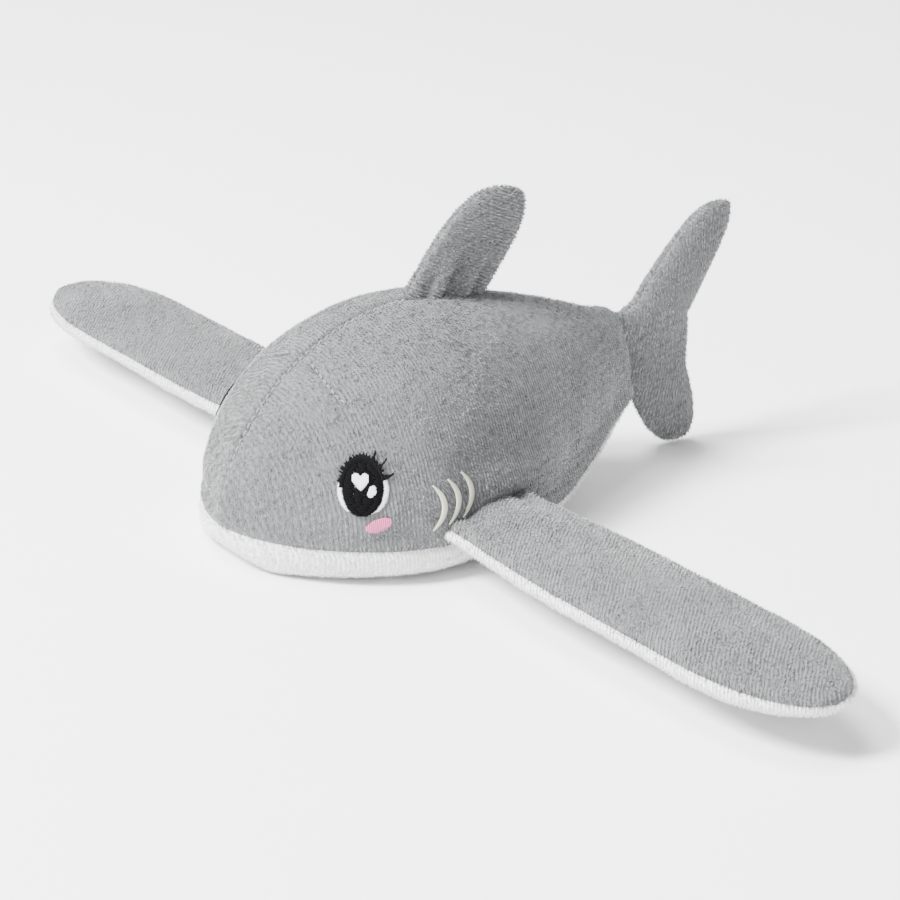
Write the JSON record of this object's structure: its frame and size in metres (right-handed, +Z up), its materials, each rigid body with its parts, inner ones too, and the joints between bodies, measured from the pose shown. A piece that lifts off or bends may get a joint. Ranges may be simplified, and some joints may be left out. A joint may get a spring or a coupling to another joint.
{
  "type": "plush shark",
  "caption": "Small stuffed toy shark with embroidered face, back fin, forked tail and long side fins that lift and curl round to hug a wrist or strap.",
  "frame": {"origin": "on the floor plane, midway between nose and tail tip and midway between the side fins' tips", "axes": "+X towards the nose, +Y towards the animal's left side fin, +Z up; the belly rests on z = 0"},
  "size_m": [0.1726, 0.3746, 0.0886],
  "materials": {
    "grey_pile": "short-pile plush, pile brushed back, slightly lustrous",
    "white_pile": "short-pile plush, white",
    "fibre_filling": "loose polyester fibre",
    "film_covered_band": "thin spring steel strip in a matte film cover",
    "white_thread": "satin-stitch embroidery",
    "black_thread": "satin-stitch embroidery",
    "pink_thread": "satin-stitch embroidery",
    "cream_thread": "satin-stitch embroidery"
  },
  "bodies": {
    "torso": {"back_panel_left": "grey_pile", "back_panel_right": "grey_pile", "belly_panel": "white_pile", "body_stuffing": "fibre_filling", "eye_white_left": "white_thread", "eye_dark_left": "black_thread", "eye_glints_left": "white_thread", "eye_lashes_left": "black_thread", "cheek_left": "pink_thread", "gills_left": "cream_thread", "eye_white_right": "white_thread", "eye_dark_right": "black_thread", "eye_glints_right": "white_thread", "eye_lashes_right": "black_thread", "cheek_right": "pink_thread", "gills_right": "cream_thread"},
    "fin_left_1": {"fin_top_left_1": "grey_pile", "fin_under_left_1": "white_pile", "fin_wadding_left_1": "fibre_filling", "fin_band_left_1": "film_covered_band"},
    "fin_left_2": {"fin_top_left_2": "grey_pile", "fin_under_left_2": "white_pile", "fin_wadding_left_2": "fibre_filling", "fin_band_left_2": "film_covered_band"},
    "fin_left_3": {"fin_top_left_3": "grey_pile", "fin_under_left_3": "white_pile", "fin_wadding_left_3": "fibre_filling", "fin_band_left_3": "film_covered_band"},
    "fin_left_4": {"fin_top_left_4": "grey_pile", "fin_under_left_4": "white_pile", "fin_wadding_left_4": "fibre_filling", "fin_band_left_4": "film_covered_band"},
    "fin_right_1": {"fin_top_right_1": "grey_pile", "fin_under_right_1": "white_pile", "fin_wadding_right_1": "fibre_filling", "fin_band_right_1": "film_covered_band"},
    "fin_right_2": {"fin_top_right_2": "grey_pile", "fin_under_right_2": "white_pile", "fin_wadding_right_2": "fibre_filling", "fin_band_right_2": "film_covered_band"},
    "fin_right_3": {"fin_top_right_3": "grey_pile", "fin_under_right_3": "white_pile", "fin_wadding_right_3": "fibre_filling", "fin_band_right_3": "film_covered_band"},
    "fin_right_4": {"fin_top_right_4": "grey_pile", "fin_under_right_4": "white_pile", "fin_wadding_right_4": "fibre_filling", "fin_band_right_4": "film_covered_band"},
    "back_fin": {"back_fin_panel_left": "grey_pile", "back_fin_panel_right": "grey_pile", "back_fin_stuffing": "fibre_filling"},
    "tail": {"tail_panel_left": "grey_pile", "tail_panel_right": "grey_pile", "tail_stuffing": "fibre_filling"}
  },
  "joints": [
    {"name": "fin_left_lift", "type": "hinge", "parent": "torso", "child": "fin_left_1", "pos_m": [0.02884, 0.05232, 0.014], "axis": [0.9981, 0, -0.061], "range_deg": [-25, 50]},
    {"name": "fin_left_curl_1", "type": "hinge", "parent": "fin_left_1", "child": "fin_left_2", "pos_m": [0.02852, 0.08632, 0.00881], "axis": [-0.9981, 0, 0.061], "range_deg": [0, 65]},
    {"name": "fin_left_curl_2", "type": "hinge", "parent": "fin_left_2", "child": "fin_left_3", "pos_m": [0.02852, 0.12032, 0.00881], "axis": [-0.9981, 0, 0.061], "range_deg": [0, 65]},
    {"name": "fin_left_curl_3", "type": "hinge", "parent": "fin_left_3", "child": "fin_left_4", "pos_m": [0.02852, 0.15432, 0.00881], "axis": [-0.9981, 0, 0.061], "range_deg": [0, 65]},
    {"name": "fin_right_lift", "type": "hinge", "parent": "torso", "child": "fin_right_1", "pos_m": [0.02884, -0.05232, 0.014], "axis": [-0.9981, 0, 0.061], "range_deg": [-25, 50]},
    {"name": "fin_right_curl_1", "type": "hinge", "parent": "fin_right_1", "child": "fin_right_2", "pos_m": [0.02852, -0.08632, 0.00881], "axis": [0.9981, 0, -0.061], "range_deg": [0, 65]},
    {"name": "fin_right_curl_2", "type": "hinge", "parent": "fin_right_2", "child": "fin_right_3", "pos_m": [0.02852, -0.12032, 0.00881], "axis": [0.9981, 0, -0.061], "range_deg": [0, 65]},
    {"name": "fin_right_curl_3", "type": "hinge", "parent": "fin_right_3", "child": "fin_right_4", "pos_m": [0.02852, -0.15432, 0.00881], "axis": [0.9981, 0, -0.061], "range_deg": [0, 65]},
    {"name": "back_fin_lean", "type": "hinge", "parent": "torso", "child": "back_fin", "pos_m": [0.00948, 0, 0.06573], "axis": [0.9899, 0, 0.1414], "range_deg": [-65, 65], "stiffness_Nm_per_rad": 0.01},
    {"name": "tail_swing", "type": "hinge", "parent": "torso", "child": "tail", "pos_m": [-0.05296, 0, 0.036], "axis": [0, 0, 1], "range_deg": [-50, 50], "stiffness_Nm_per_rad": 0.012}
  ],
  "couplings": [
    {"joint": "fin_left_curl_2", "follows": "fin_left_curl_1", "ratio": 1},
    {"joint": "fin_left_curl_3", "follows": "fin_left_curl_1", "ratio": 1},
    {"joint": "fin_right_curl_2", "follows": "fin_right_curl_1", "ratio": 1},
    {"joint": "fin_right_curl_3", "follows": "fin_right_curl_1", "ratio": 1}
  ]
}
